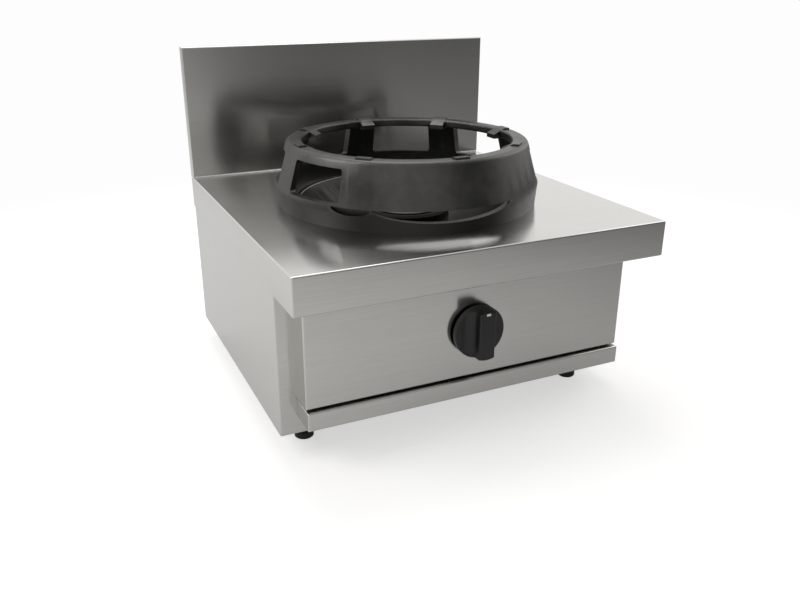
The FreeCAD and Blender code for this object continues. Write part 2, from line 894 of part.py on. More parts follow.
# Burner bowl: spun from sheet, hung by its rolled rim in the worktop's well
rim_radius = d.well_radius + d.bowl_rim_width
bowl_low = top - d.bowl_depth
mouth_outside = d.bowl_mouth_radius + d.bowl_sheet
owner = body("bowl")
revolve(owner, [
    (rim_radius, top),
    (rim_radius, top + d.bowl_rim_height - d.bowl_sheet),
    (rim_radius - d.bowl_sheet, top + d.bowl_rim_height),
    (bowl_neck, top + d.bowl_rim_height),
    (bowl_neck - d.bowl_sheet, top),
    (d.bowl_floor_radius, bowl_low + d.bowl_sheet),
    (mouth_outside, bowl_low + d.bowl_sheet),
    (mouth_outside, bowl_low + d.bowl_collar_height),
    (d.bowl_mouth_radius, bowl_low + d.bowl_collar_height),
    (d.bowl_mouth_radius, bowl_low),
    (d.bowl_floor_radius + d.bowl_sheet, bowl_low),
    (bowl_neck, top - d.bowl_rim_height),
    (bowl_neck, top),
])
keep("burner_bowl", owner)

# Wok ring: one casting, a cone with six windows round the sides and back, a solid front
# with an air gap and a shallow recess under it, and eight lugs that carry the wok
ring_top = top + d.ring_height
skirt_top = top + d.ring_skirt_height
rim_low = ring_top - d.ring_rim_height
rim_inside = d.ring_top_radius - d.ring_rim_width
slope = (d.ring_skirt_radius - d.ring_top_radius) / (d.ring_height - d.ring_skirt_height)
rim_low_inside = d.ring_top_radius + slope * d.ring_rim_height - d.ring_wall
owner = body("ring")
revolve(owner, [
    (d.ring_base_radius - d.ring_wall, top),
    (d.ring_base_radius, top),
    (d.ring_skirt_radius, skirt_top),
    (d.ring_top_radius, ring_top),
    (rim_inside, ring_top),
    (rim_inside, rim_low),
    (rim_low_inside, rim_low),
    (d.ring_skirt_radius - d.ring_wall, skirt_top),
])
soften(owner, d.ring_round, lambda edge: isinstance(edge.Curve, Part.Circle)
       and near(edge.Curve.Radius, rim_inside))
soften(owner, d.rim_round, lambda edge: isinstance(edge.Curve, Part.Circle)
       and near(edge.Curve.Radius, d.ring_top_radius))
sill = top + d.window_sill
head = sill + d.window_height
drawn = turned_sketch(owner, d.first_window.value)
outline(drawn, [
    (-d.window_sill_half_width, sill),
    (d.window_sill_half_width, sill),
    (d.window_head_half_width, head),
    (-d.window_head_half_width, head),
])
windows_sweep = d.window_step * (d.window_count - 1)
around(owner, pocket(owner, drawn, 2 * d.ring_skirt_radius), d.window_count, windows_sweep)
soften(owner, d.window_corner, lambda edge: isinstance(edge.Curve, Part.Line)
       and (near(edge.BoundBox.ZMin, sill) or near(edge.BoundBox.ZMin, head))
       and abs(edge.Curve.Direction.z) < 0.01)
drawn = sketch_on(owner, "YZ_Plane")
lug_outside = rim_inside + d.lug_seat
outline(drawn, [
    (rim_inside - d.lug_reach, ring_top - d.lug_depth),
    (lug_outside, ring_top - d.lug_depth),
    (lug_outside, ring_top + d.lug_height),
    (rim_inside + d.lug_step, ring_top + d.lug_height),
    (rim_inside - d.lug_reach, ring_top - d.lug_depth / 2),
])
around(owner, pad(owner, drawn, d.lug_width), d.lug_count, 360)
front_gap = half_oval(d.gap_half_width, d.gap_sag, (-2 * d.ring_skirt_radius, 0), skirt_top)
side_gap = half_oval(d.side_gap_half_width, d.side_gap_sag,
                     (-2 * d.ring_skirt_radius, d.side_gap_depth - d.ring_skirt_radius), skirt_top)
for gap, turn in ((front_gap, d.gap_turn), (side_gap, d.side_gap_turn)):
    gap.Placement = Placement(Vector(), Rotation(Vector(0, 0, 1), -turn.value))
keep("wok_ring", cut(owner, front_gap, side_gap))

# Burner body: one casting with a cup, a neck, a mixing tube that runs to the front,
# and two feet that stand on the rails
cup_low = top - d.cup_drop
cup_high = cup_low + d.cup_height
tube_z = top - d.mixing_drop
tube_low = tube_z - d.mixing_radius
tube_front = -d.mixing_length
leg_low = tube_low - d.burner_leg_drop
cup = rod("z", d.burner_radius, (cup_low, cup_high), (0, 0))
neck = rod("z", d.neck_radius, (tube_z, cup_low + d.cup_wall), (0, 0))
mixing_tube = rod("y", d.mixing_radius, (tube_front, d.mixing_end), (0, tube_z))
leg_half = d.burner_leg_width / 2
leg_near = d.burner_rail_spread - d.burner_leg_thick / 2
leg_far = d.burner_rail_spread + d.burner_leg_thick / 2
front_leg = block((-leg_half, leg_half), (-leg_far, -leg_near), (leg_low, tube_z))
rear_leg = block((-leg_half, leg_half), (leg_near, leg_far), (leg_low, cup_low + d.cup_wall))
ears_y = tube_front + d.bracket_reach
ears = block((-d.bracket_half_width + sheet, d.bracket_half_width - sheet),
             (ears_y - d.lug_block / 2, ears_y + d.lug_block / 2),
             (tube_z - d.lug_block / 2, tube_z + d.lug_block / 2))
chamber = rod("z", d.burner_radius - d.cup_wall, (cup_low + d.cup_wall, cup_high + d.cup_wall), (0, 0))
throat = rod("z", d.throat_radius, (tube_z, cup_low + 2 * d.cup_wall), (0, 0))
bore = rod("y", d.mixing_bore, (tube_front + d.mixing_face, d.mixing_bore), (0, tube_z))
jet_hole = rod("y", d.jet_hole_radius, (tube_front - d.mixing_face, tube_front + 2 * d.mixing_face),
               (0, tube_z))
window_front = tube_front + d.air_window_setback
window_span = (window_front, window_front + d.air_window_length)
air_windows = [
    block((-2 * d.mixing_radius, 2 * d.mixing_radius), window_span,
          (tube_z - d.air_window_width / 2, tube_z + d.air_window_width / 2)),
    block((-d.air_window_width / 2, d.air_window_width / 2), window_span,
          (tube_z - 2 * d.mixing_radius, tube_z + 2 * d.mixing_radius)),
]
screw_tip = d.bracket_half_width - d.screw_length - d.screw_slack
ear_holes = [screw_hole("x", sides(side, screw_tip, d.bracket_half_width), (ears_y, tube_z))
             for side in (-1, 1)]
casting = fuse(cup, neck, mixing_tube, front_leg, rear_leg, ears)
keep("burner_body", cut(casting, chamber, throat, bore, jet_hole, *air_windows, *ear_holes))

# Burner crown: a brass ring on the cup with radial flame ports
crown_high = cup_high + d.crown_height
owner = body("crown")
revolve(owner, [
    (d.crown_inner_radius, cup_high),
    (d.burner_radius, cup_high),
    (d.burner_radius, crown_high - d.crown_bevel),
    (d.burner_radius - d.crown_bevel, crown_high),
    (d.crown_inner_radius, crown_high),
])
drawn = sketch_on(owner, "XZ_Plane")
circle(drawn, d.port_radius, (0, cup_high + d.port_height))
port = pocket(owner, drawn, 2 * d.burner_radius)
around(owner, port, d.port_count, 360)
keep("burner_crown", owner)

# Burner cap: a cast lid whose spigot centres it in the crown
owner = body("cap")
spigot = d.crown_inner_radius - d.cap_spigot_slack
revolve(owner, [
    (0, crown_high - d.cap_spigot_height),
    (spigot, crown_high - d.cap_spigot_height),
    (spigot, crown_high),
    (d.cap_radius, crown_high),
    (d.cap_radius, crown_high + d.cap_edge),
    (d.crown_inner_radius, crown_high + d.cap_height),
    (0, crown_high + d.cap_height),
])
keep("burner_cap", owner)

# Air shutter: a sleeve round the mouth of the mixing tube, with windows over the tube's own
shutter_span = (window_front - d.shutter_margin, window_front + d.air_window_length + d.shutter_margin)
shutter_radius = d.mixing_radius + d.running_slack + d.shutter_wall
sleeve = rod("y", shutter_radius, shutter_span, (0, tube_z))
tab = block((-d.lug_block / 2, d.lug_block / 2), (shutter_span[1] - d.shutter_wall, shutter_span[1]),
            (tube_z - shutter_radius - d.shutter_tab, tube_z - d.mixing_radius - d.shutter_wall / 2))
shutter_bore = rod("y", d.mixing_radius + d.running_slack, (tube_front - sheet, ears_y), (0, tube_z))
keep("air_shutter", cut(fuse(sleeve, tab), shutter_bore, *air_windows))


# Burner rails: channels from side to side that carry the burner
def burner_rail(side):
    width = sides(side, d.burner_rail_spread - d.burner_rail_width / 2,
                  d.burner_rail_spread + d.burner_rail_width / 2)
    channel = block((-web_inside, web_inside), width, (leg_low - d.burner_rail_height, leg_low))
    groove = block((-web_inside - sheet, web_inside + sheet), (width[0] + sheet, width[1] - sheet),
                   (leg_low - d.burner_rail_height - sheet, leg_low - sheet))
    tabs = [block(sides(end, web_inside - sheet, web_inside), width, (leg_low, leg_low + d.burner_rail_tab))
            for end in (-1, 1)]
    return fuse(cut(channel, groove), *tabs)


keep("burner_rail_front", burner_rail(-1))
keep("burner_rail_rear", burner_rail(1))

# Injector: a brass jet that ends inside the mouth of the mixing tube
holder_face = tube_front - d.injector_gap
jet_end = holder_face + d.injector_length
plate_span = (holder_face - sheet, holder_face)
nose_start = jet_end - d.injector_radius / 2
nozzle = rod("y", d.injector_radius, (holder_face - sheet, nose_start), (0, tube_z))
nose = taper("y", (d.injector_radius, d.injector_radius / 2), (nose_start, jet_end), (0, tube_z))
orifice = rod("y", d.injector_bore, (holder_face - 2 * sheet, jet_end + sheet), (0, tube_z))
keep("injector", cut(fuse(nozzle, nose), orifice))

# Injector holder: a hexagonal block behind the bracket that joins the pipe to the jet
holder_front = holder_face - sheet - d.holder_length
holder = hexagon("y", d.holder_width, (holder_front, holder_face - sheet), (0, tube_z))
pipe_end = holder_front + d.holder_length / 2
socket = rod("y", d.burner_pipe_radius, (holder_front - sheet, pipe_end), (0, tube_z))
passage = rod("y", d.burner_pipe_bore, (holder_front, holder_face), (0, tube_z))
keep("injector_holder", cut(holder, socket, passage))

# Injector bracket: a strap from the holder to the ears of the burner body
strap_back = ears_y + d.lug_block / 2
face = block((-d.bracket_half_width, d.bracket_half_width), plate_span,
             (tube_z - d.bracket_height / 2, tube_z + d.bracket_height / 2))
arms = [block(sides(side, d.bracket_half_width - sheet, d.bracket_half_width), (plate_span[0], strap_back),
              (tube_z - d.lug_block / 2, tube_z + d.lug_block / 2)) for side in (-1, 1)]
jet_clearance = rod("y", d.injector_radius, (plate_span[0] - sheet, plate_span[1] + sheet), (0, tube_z))
arm_holes = [screw_hole("x", (-2 * d.bracket_half_width, 2 * d.bracket_half_width), (ears_y, tube_z))]
keep("injector_bracket", cut(fuse(face, *arms), jet_clearance, *arm_holes))
keep("bracket_screws", group(*[screw("x", d.bracket_half_width * side, -side, (ears_y, tube_z))
                               for side in (-1, 1)]))

# Pilot plate: holds the pilot and the thermocouple beside the cup, under the flames
pilot_x = -d.pilot_ring_radius
plate_outer = -d.bowl_mouth_radius + d.bowl_neck_gap
plate_x = (plate_outer, plate_outer + d.pilot_plate_reach)
plate = block(plate_x, (-d.pilot_plate_width / 2, d.pilot_plate_width / 2), (cup_low - sheet, cup_low))
through = (cup_low - 2 * sheet, cup_low + sheet)
pilot_hole = rod("z", d.pilot_radius + d.screw_slack, through, (pilot_x, -d.pilot_spread))
probe_hole = rod("z", d.probe_radius + d.screw_slack, through, (pilot_x, d.pilot_spread))
keep("pilot_plate", cut(plate, pilot_hole, probe_hole))

# Pilot burner: a brass tube through the plate, with a nut below and a slot for its flame
nut_span = (cup_low - sheet - d.pilot_nut_height, cup_low - sheet)
pilot_high = top - d.pilot_top_drop
stem = rod("z", d.pilot_radius, (nut_span[0], pilot_high), (pilot_x, -d.pilot_spread))
nut = hexagon("z", d.pilot_nut_width, nut_span, (pilot_x, -d.pilot_spread))
slot_low = pilot_high - 2 * d.pilot_radius
slot_high = pilot_high - d.pilot_radius
flame_slot = block((pilot_x, pilot_x + 2 * d.pilot_radius),
                   (-d.pilot_spread - d.small_tube_bore, -d.pilot_spread + d.small_tube_bore),
                   (slot_low, slot_high))
feed = rod("z", d.small_tube_bore, (nut_span[0] - sheet, slot_high), (pilot_x, -d.pilot_spread))
keep("pilot_burner", cut(fuse(stem, nut), flame_slot, feed))

# Gas tap body: brass, with the plug's seat, an inlet, two outlets and the safety valve behind
tap_front = panel_front + sheet + d.tap_front_gap
tap_back = tap_front + d.tap_length
plug_front = tap_front + d.plug_setback
plug_back = plug_front + d.plug_length
valve_back = tap_back + d.valve_length
inlet_y = tap_front + d.inlet_boss_setback
barrel = rod("y", d.tap_radius, (tap_front, tap_back), (0, knob_z))
valve = rod("y", d.valve_radius, (tap_back, valve_back), (0, knob_z))
inlet_boss = rod("x", d.inlet_boss_radius, (0, d.inlet_boss_reach), (inlet_y, knob_z))
outlet_boss = rod("z", d.outlet_boss_radius, (knob_z, knob_z + d.outlet_boss_reach), (0, inlet_y))
pilot_boss = rod("x", d.pilot_boss_radius, (-d.pilot_boss_reach, 0), (inlet_y, knob_z))
seat = taper("y", (d.plug_front_radius + d.running_slack, d.plug_back_radius + d.running_slack),
             (plug_front, plug_back), (0, knob_z))
front_room = rod("y", d.plug_front_radius + d.running_slack, (tap_front - sheet, plug_front), (0, knob_z))
back_room = rod("y", d.valve_bore, (plug_back, valve_back - sheet), (0, knob_z))
inlet_bore = rod("x", d.port_bore, (0, d.inlet_boss_reach + sheet), (inlet_y, knob_z))
outlet_bore = rod("z", d.port_bore, (knob_z, knob_z + d.outlet_boss_reach + sheet), (0, inlet_y))
pilot_bore = rod("x", d.small_tube_radius, (-d.pilot_boss_reach - sheet, 0), (inlet_y, knob_z))
flange = block((-d.cover_half_width, d.cover_half_width), (tap_front, tap_front + d.tap_flange),
               (knob_z - d.cover_half_height, knob_z + d.cover_half_height))
flange_holes = [screw_hole("y", (tap_front - sheet, tap_front + d.screw_length),
                           (d.cover_screw_spread * side, knob_z))
                for side in (-1, 1)]
brass = fuse(barrel, valve, inlet_boss, outlet_boss, pilot_boss, flange)
keep("tap_body", cut(brass, seat, front_room, back_room, inlet_bore, outlet_bore, pilot_bore,
                     *flange_holes))

# Tap cover: closes the front of the tap and guides the spindle
cover_front = tap_front - d.cover_thick
plate = block((-d.cover_half_width, d.cover_half_width), (cover_front, tap_front),
              (knob_z - d.cover_half_height, knob_z + d.cover_half_height))
guide = rod("y", d.spindle_radius + d.running_slack, (cover_front - sheet, tap_front + sheet), (0, knob_z))
cover_holes = [screw_hole("y", (cover_front - sheet, tap_front + sheet),
                          (d.cover_screw_spread * side, knob_z))
               for side in (-1, 1)]
keep("tap_cover", cut(plate, guide, *cover_holes))
keep("tap_cover_screws", group(*[screw("y", cover_front, 1, (d.cover_screw_spread * side, knob_z))
                                 for side in (-1, 1)]))


# Spindle section: a round bar with one flat, which turns what it sits in
def flatted(radius, flat, span):
    bar = rod("y", radius, span, (0, knob_z))
    keep_side = block((-2 * radius, flat), span, (knob_z - 2 * radius, knob_z + 2 * radius))
    return common(bar, keep_side)


knob_back = panel_front - d.knob_gap
spindle_front = knob_back - d.spindle_in_knob
spindle_back = plug_front + d.spindle_in_plug
collar_front = tap_front + d.collar_gap
spring_front = collar_front + d.collar_thick
spring_back = spring_front + d.spring_length

# Tap plug: the tapered brass piece that the spindle turns, with an elbow-shaped gas way
plug = taper("y", (d.plug_front_radius, d.plug_back_radius), (plug_front, plug_back), (0, knob_z))
pocket_tool = rod("y", d.spring_pocket_radius, (plug_front - sheet, spring_back + d.spring_spare),
                  (0, knob_z))
drive = flatted(d.spindle_radius + d.running_slack, d.spindle_flat + d.running_slack,
                (plug_front, spindle_back + d.spring_spare))
way_in = rod("x", d.plug_way_radius, (0, 2 * d.plug_front_radius), (inlet_y, knob_z))
way_out = rod("z", d.plug_way_radius, (knob_z, knob_z + 2 * d.plug_front_radius), (0, inlet_y))
keep("tap_plug", cut(plug, pocket_tool, drive, way_in, way_out))

# Tap spindle: steel, flatted from end to end, with a collar behind the cover
round_part = rod("y", d.spindle_radius, (cover_front - d.knob_gap, spring_front), (0, knob_z))
collar = rod("y", d.collar_radius, (collar_front, spring_front), (0, knob_z))
shaft = flatted(d.spindle_radius, d.spindle_flat, (spindle_front, spindle_back))
keep("tap_spindle", fuse(shaft, round_part, collar))

# Tap spring: a coil round the spindle behind its collar
pitch = (d.spring_length.value - 2 * d.spring_wire.value) / d.spring_turns.value
coil = Part.makeHelix(pitch, pitch * d.spring_turns.value, d.spring_radius.value)
wire_start = Vector(d.spring_radius.value, 0, 0)
section = Part.Wire(Part.makeCircle(d.spring_wire.value, wire_start, Vector(0, 1, 0)))
made = doc.addObject("Part::Feature", "coil")
made.Shape = Part.Wire(coil).makePipeShell([section], True, True)
spring_start = spring_front + d.spring_wire
made.Placement = Placement(Vector(0, spring_start.value, knob_z.value), TURNS["y"])
keep("tap_spring", made)

# Tap plate and nut: the tap's rear barrel is clamped in an upright on the lower rail
plate_low = lower_rail_high
plate_high = knob_z + d.tap_plate_rise
plate_width = (-d.tap_plate_half_width, d.tap_plate_half_width)
upright = block(plate_width, (tap_back, tap_back + sheet), (plate_low, plate_high))
foot = block(plate_width, (tap_back, tap_back + d.flange_width / 2), (plate_low, plate_low + sheet))
tap_hole = rod("y", d.valve_radius, (tap_back - sheet, tap_back + 2 * sheet), (0, knob_z))
keep("tap_plate", cut(fuse(upright, foot), tap_hole))
nut_front = tap_back + sheet
nut = hexagon("y", d.tap_nut_width, (nut_front, nut_front + d.tap_nut_height), (0, knob_z))
nut_bore = rod("y", d.valve_radius, (nut_front - sheet, nut_front + d.tap_nut_height + sheet), (0, knob_z))
keep("tap_nut", cut(nut, nut_bore))

# Knob: moulded, a hollow disc with a tall grip bar whose sides sweep into the disc
knob_face = knob_back - d.knob_skirt
knob_front = knob_back - d.knob_depth
sweep_x = d.grip_width / 2 + d.grip_sweep
sweep_y = knob_face - d.grip_sweep
tall = (knob_z - 2 * d.knob_radius, knob_z + 2 * d.knob_radius)
bar = block((-sweep_x, sweep_x), (knob_front, knob_face + d.knob_shell), tall)
sweeps = [rod("z", d.grip_sweep, tall, (sweep_x * side, sweep_y)) for side in (-1, 1)]
sweeps += [block(sides(side, d.grip_width / 2, sweep_x + sheet), (knob_front - sheet, sweep_y), tall)
           for side in (-1, 1)]
deep = (knob_front - sheet, knob_back)
lower_end = rod("y", d.grip_reach, deep, (0, knob_z))
upper_end = common(rod("y", d.knob_radius, deep, (0, knob_z)),
                   block((-d.knob_radius, d.knob_radius), deep, (knob_z, tall[1])))
disc = rod("y", d.knob_radius, (knob_face, knob_back), (0, knob_z))
moulding = fuse(disc, common(cut(bar, *sweeps), fuse(lower_end, upper_end)))
moulding = rounded(moulding, d.knob_round, lambda edge: near(edge.BoundBox.YMax, knob_front))
room = rod("y", d.knob_radius - d.knob_shell, (knob_face + d.knob_shell, knob_back + sheet), (0, knob_z))
boss = rod("y", d.bush_radius + d.bush_boss, (knob_face, knob_back + 2 * sheet), (0, knob_z))
hollow = cut(room, boss)
bush_room = rod("y", d.bush_radius, (spindle_front - sheet, knob_back + sheet), (0, knob_z))
mark = ((-d.pointer_width / 2, d.pointer_width / 2), (knob_front, knob_front + d.pointer_depth),
        (knob_z + d.pointer_rise, knob_z + d.pointer_rise + d.pointer_length))
keep("knob", cut(moulding, hollow, bush_room, block(*mark)))
keep("knob_pointer", block(*mark))

# Knob bush: a brass insert with the spindle's flatted hole
bush = rod("y", d.bush_radius, (spindle_front - sheet, knob_back), (0, knob_z))
bush_hole = flatted(d.spindle_radius + d.running_slack, d.spindle_flat + d.running_slack,
                    (spindle_front, knob_back + sheet))
keep("knob_bush", cut(bush, bush_hole))

# Supply pipe: from the connection at the back, along the right side, to the tap
boss_end = d.inlet_boss_reach
inlet_inside = back_face - d.inlet_inside
pipe_back = inlet_inside + d.inlet_socket
keep("supply_pipe", tube([
    (boss_end, inlet_y, knob_z),
    (pipe_x, inlet_y, knob_z),
    (pipe_x, pipe_back, knob_z),
], d.pipe_radius, d.pipe_bore, d.pipe_bend))
nut = hexagon("x", d.pipe_nut_width, (boss_end, boss_end + d.pipe_nut_length), (inlet_y, knob_z))
nut_bore = rod("x", d.pipe_radius, (boss_end - sheet, boss_end + d.pipe_nut_length + sheet),
               (inlet_y, knob_z))
keep("supply_pipe_nut", cut(nut, nut_bore))

# Inlet fitting: a shank clamped in the back panel, a hexagon inside and a threaded tail outside
inlet_at = (pipe_x, knob_z)
locknut_span = (back_face + sheet, back_face + sheet + d.locknut_height)
tail_end = back_face + d.inlet_tail
shank = rod("y", d.inlet_shank_radius, (inlet_inside, locknut_span[1]), inlet_at)
tail = rod("y", d.inlet_radius, (locknut_span[1], tail_end), inlet_at)
hexed = hexagon("y", d.inlet_hex, (back_face - d.inlet_hex_height, back_face), inlet_at)
socket = rod("y", d.pipe_radius, (inlet_inside - sheet, pipe_back), inlet_at)
passage = rod("y", d.pipe_bore, (inlet_inside, tail_end + sheet), inlet_at)
keep("inlet_fitting", cut(fuse(shank, tail, hexed), socket, passage))
nut = hexagon("y", d.locknut_hex, locknut_span, inlet_at)
nut_bore = rod("y", d.inlet_shank_radius, (back_face, locknut_span[1] + sheet), inlet_at)
keep("inlet_locknut", cut(nut, nut_bore))

# Burner pipe: from the tap up and back to the injector holder
keep("burner_pipe", tube([
    (0, inlet_y, knob_z + d.outlet_boss_reach - d.tap_flange),
    (0, inlet_y, tube_z),
    (0, pipe_end, tube_z),
], d.burner_pipe_radius, d.burner_pipe_bore, d.burner_pipe_bend))

# Pilot tube: from the tap's left side, back and up to the pilot burner
keep("pilot_tube", tube([
    (-d.tap_radius, inlet_y, knob_z),
    (pilot_x, inlet_y, knob_z),
    (pilot_x, -d.pilot_spread, knob_z),
    (pilot_x, -d.pilot_spread, nut_span[0]),
], d.small_tube_radius, d.small_tube_bore, d.small_bend))

# Thermocouple: a probe beside the pilot, with its lead to the tap's safety valve
probe = rod("z", d.probe_radius, (nut_span[0], pilot_high), (pilot_x, d.pilot_spread))
lead = tube([
    (pilot_x, d.pilot_spread, nut_span[0]),
    (pilot_x, d.pilot_spread, knob_z),
    (0, d.pilot_spread, knob_z),
    (0, valve_back, knob_z),
], d.lead_radius, None, d.small_bend)
keep("thermocouple", fuse(probe, lead))

# Every object has to be sound before anything is written
doc.recompute()
for thing in doc.Objects:
    if "Invalid" in thing.State or "Error" in thing.State:
        raise RuntimeError(f"{thing.Name} ({thing.Label}) failed: {thing.State}")
for name, thing in parts.items():
    if thing.Shape.isNull() or not thing.Shape.isValid():
        raise RuntimeError(f"{name} has no valid shape")
    if not all(solid.isClosed() for solid in thing.Shape.Solids) or not thing.Shape.Solids:
        raise RuntimeError(f"{name} isn't closed")
os.makedirs("parts", exist_ok=True)
for name, thing in parts.items():
    thing.Shape.exportStep(f"parts/{name}.step")
    print(f"{name:26s} solids {len(thing.Shape.Solids):2d}  volume {thing.Shape.Volume / 1000:9.2f} cm3")
print(len(parts), "nodes")
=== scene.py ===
import json
import math

import bmesh
import bpy
from mathutils import Matrix, Vector

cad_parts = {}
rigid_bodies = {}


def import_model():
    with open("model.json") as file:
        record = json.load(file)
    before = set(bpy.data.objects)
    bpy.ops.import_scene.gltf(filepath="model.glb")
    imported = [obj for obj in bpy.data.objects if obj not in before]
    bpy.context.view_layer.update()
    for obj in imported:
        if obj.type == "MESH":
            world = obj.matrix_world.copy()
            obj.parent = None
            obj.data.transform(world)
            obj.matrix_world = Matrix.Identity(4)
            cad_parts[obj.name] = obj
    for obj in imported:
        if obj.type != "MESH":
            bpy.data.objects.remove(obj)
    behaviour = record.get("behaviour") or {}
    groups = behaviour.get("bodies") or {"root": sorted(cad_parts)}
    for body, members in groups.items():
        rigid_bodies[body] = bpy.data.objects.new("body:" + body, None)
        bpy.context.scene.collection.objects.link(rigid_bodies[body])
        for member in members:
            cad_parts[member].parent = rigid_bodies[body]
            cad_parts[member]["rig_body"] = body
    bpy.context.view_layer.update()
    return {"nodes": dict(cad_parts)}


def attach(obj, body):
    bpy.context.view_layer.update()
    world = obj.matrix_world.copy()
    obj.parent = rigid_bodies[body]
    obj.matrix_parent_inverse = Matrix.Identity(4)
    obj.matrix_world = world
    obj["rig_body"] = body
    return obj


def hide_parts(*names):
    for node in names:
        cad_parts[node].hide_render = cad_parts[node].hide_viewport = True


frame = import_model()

# Folded casing: worktop, splashback, side panels, control panel and tray front, 1.5 mm
# stainless sheet, brushed along its length with a fine belt, folded, and welded at the
# corners. The brushing gives streaked, soft reflections; the thin bright lines on folds
# are a painted highlight, from a paler edge finish.


def linear(colour):
    """A linear colour from an sRGB hex value."""
    parts = [int(colour[i:i + 2], 16) / 255 for i in (1, 3, 5)]
    return [p / 12.92 if p <= 0.04045 else ((p + 0.055) / 1.055) ** 2.4 for p in parts] + [1.0]


def add(tree, kind, settings=None, inputs=None):
    """Add a node to a tree with its settings and with values or links on its inputs."""
    node = tree.nodes.new(kind)
    for name, value in (settings or {}).items():
        setattr(node, name, value)
    for name, value in (inputs or {}).items():
        if isinstance(value, bpy.types.NodeSocket):
            tree.links.new(value, node.inputs[name])
        else:
            node.inputs[name].default_value = value
    return node


def new_material(name):
    """An empty material, its tree and its output."""
    material = bpy.data.materials.new(name)
    material.use_nodes = True
    material.node_tree.nodes.clear()
    return material, material.node_tree, add(material.node_tree, "ShaderNodeOutputMaterial")


def brushed_stainless(name, tone, streak_tone, roughness):
    """Stainless with its grain along each face's length, which draws reflections out into streaks.

    The grain's lines are drawn 0.7 mm wide and about 120 mm long, as coarse as they need to
    be to show. The paler ones are a little smoother.
    """
    fine, long = 1400, 8  # streaks per metre, across the grain and along it
    side_facing = 0.7
    smears_per_metre = 7.0
    smear_gain, streak_gain = 0.04, -0.04
    grain_depth = 0.00001
    grain_way = (1, 0.02, 0)
    material, tree, output = new_material(name)
    place = add(tree, "ShaderNodeTexCoord").outputs["Object"]
    normal = add(tree, "ShaderNodeNewGeometry").outputs["Normal"]
    facing = add(tree, "ShaderNodeSeparateXYZ", inputs={0: normal})
    sideways = add(tree, "ShaderNodeMath", {"operation": "ABSOLUTE"}, {0: facing.outputs[0]})
    on_side = add(tree, "ShaderNodeMath", {"operation": "GREATER_THAN"},
                  {0: sideways.outputs[0], 1: side_facing})
    across = add(tree, "ShaderNodeMapping", inputs={0: place, "Scale": (long, fine, fine)})
    along = add(tree, "ShaderNodeMapping", inputs={0: place, "Scale": (fine, long, fine)})
    way = add(tree, "ShaderNodeMix", {"data_type": "VECTOR"},
              {0: on_side.outputs[0], 4: across.outputs[0], 5: along.outputs[0]})
    streaks = add(tree, "ShaderNodeTexNoise",
                  inputs={"Vector": way.outputs[1], "Scale": 1.0, "Detail": 3.0, "Roughness": 0.6})
    smears = add(tree, "ShaderNodeTexNoise",
                 inputs={"Vector": place, "Scale": smears_per_metre, "Detail": 4.0, "Roughness": 0.55})
    streak_level = add(tree, "ShaderNodeMapRange", inputs={0: streaks.outputs[0], 1: 0.3, 2: 0.7})
    smear_level = add(tree, "ShaderNodeMapRange", inputs={0: smears.outputs[0], 1: 0.35, 2: 0.7})
    # A colour mix takes its factor in socket 0 and its colours in 6 and 7, and gives output 2.
    colour = add(tree, "ShaderNodeMix", {"data_type": "RGBA"},
                 {0: streak_level.outputs[0], 6: linear(streak_tone), 7: linear(tone)}).outputs[2]
    wiped = add(tree, "ShaderNodeMath", {"operation": "MULTIPLY_ADD"},
                {0: smear_level.outputs[0], 1: smear_gain, 2: roughness - smear_gain / 2})
    rough = add(tree, "ShaderNodeMath", {"operation": "MULTIPLY_ADD"},
                {0: streak_level.outputs[0], 1: streak_gain, 2: wiped.outputs[0]})
    bump = add(tree, "ShaderNodeBump",
               inputs={"Strength": 0.2, "Distance": grain_depth, "Height": streaks.outputs[0]})
    spread_way = add(tree, "ShaderNodeVectorMath", {"operation": "CROSS_PRODUCT"}, {0: normal, 1: grain_way})
    metal = add(tree, "ShaderNodeBsdfPrincipled", inputs={
        "Base Color": colour, "Metallic": 1.0, "Roughness": rough.outputs[0], "Anisotropic": 0.72,
        "Tangent": spread_way.outputs[0], "Normal": bump.outputs[0]})
    tree.links.new(metal.outputs[0], output.inputs[0])
    return material


def clouded_finish(name, scale, detail, dark, light, metallic, roughness, wear=0.0):
    """A finish clouded between two colours, and rougher by wear where it is lighter."""
    material, tree, output = new_material(name)
    place = add(tree, "ShaderNodeTexCoord").outputs["Object"]
    clouds = add(tree, "ShaderNodeTexNoise", inputs={"Vector": place, "Scale": scale, "Detail": detail})
    colour = add(tree, "ShaderNodeMix", {"data_type": "RGBA"},
                 {0: clouds.outputs[0], 6: linear(dark), 7: linear(light)}).outputs[2]
    if wear:
        roughness = add(tree, "ShaderNodeMath", {"operation": "MULTIPLY_ADD"},
                        {0: clouds.outputs[0], 1: wear, 2: roughness}).outputs[0]
    surface = add(tree, "ShaderNodeBsdfPrincipled",
                  inputs={"Base Color": colour, "Metallic": metallic, "Roughness": roughness})
    tree.links.new(surface.outputs[0], output.inputs[0])
    return material


